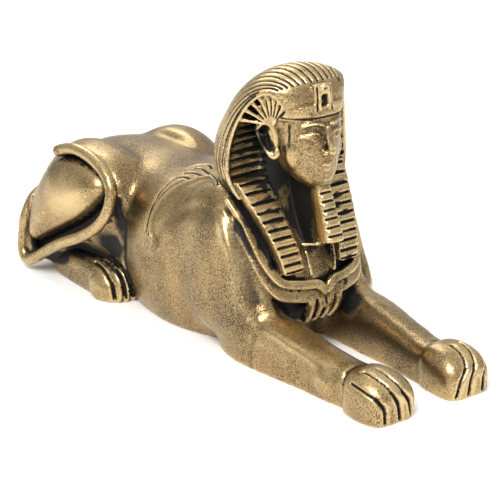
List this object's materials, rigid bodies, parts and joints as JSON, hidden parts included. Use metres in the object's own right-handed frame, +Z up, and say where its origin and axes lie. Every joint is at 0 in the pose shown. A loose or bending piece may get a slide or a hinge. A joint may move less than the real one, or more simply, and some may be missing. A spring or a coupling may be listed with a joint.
{
  "type": "sphinx figurine",
  "caption": "Small solid cast brass sphinx lying down: lion's body, tail round the right haunch, king's head in a striped headcloth.",
  "frame": {"origin": "middle of the footprint, on the ground under the belly", "axes": "+Y runs from the paws to the rump, so the face looks along -Y; +Z is up; the tail lies on the -X side"},
  "size_m": [0.0246, 0.0652, 0.0331],
  "materials": {
    "aged_brass": "aged cast brass, polished on the high places and near black in the hollows"
  },
  "bodies": {
    "root": {"sphinx": "aged_brass"}
  },
  "joints": []
}
